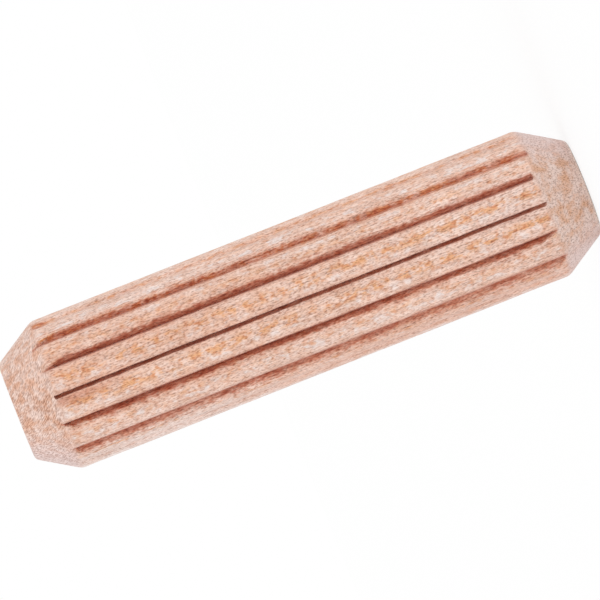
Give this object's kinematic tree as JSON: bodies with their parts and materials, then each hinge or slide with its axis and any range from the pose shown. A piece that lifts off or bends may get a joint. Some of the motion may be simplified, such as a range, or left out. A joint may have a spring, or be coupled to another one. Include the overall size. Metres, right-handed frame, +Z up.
{
  "type": "fluted wooden dowel pin",
  "caption": "Round wooden dowel pin with straight lengthwise flutes and tapered ends, glued into matching drilled holes to line up and join two pieces of wood.",
  "frame": {"origin": "centre of the lower end face, on the pin's axis", "axes": "+Z up along the pin's axis, from the lower end face to the upper one; -Y towards the side that the picture shows"},
  "size_m": [0.0102, 0.0102, 0.04],
  "materials": {
    "beech": "bare, dry, unsanded beech with fine lengthwise fibres and browned flutes"
  },
  "bodies": {
    "root": {"dowel_pin": "beech"}
  },
  "joints": []
}
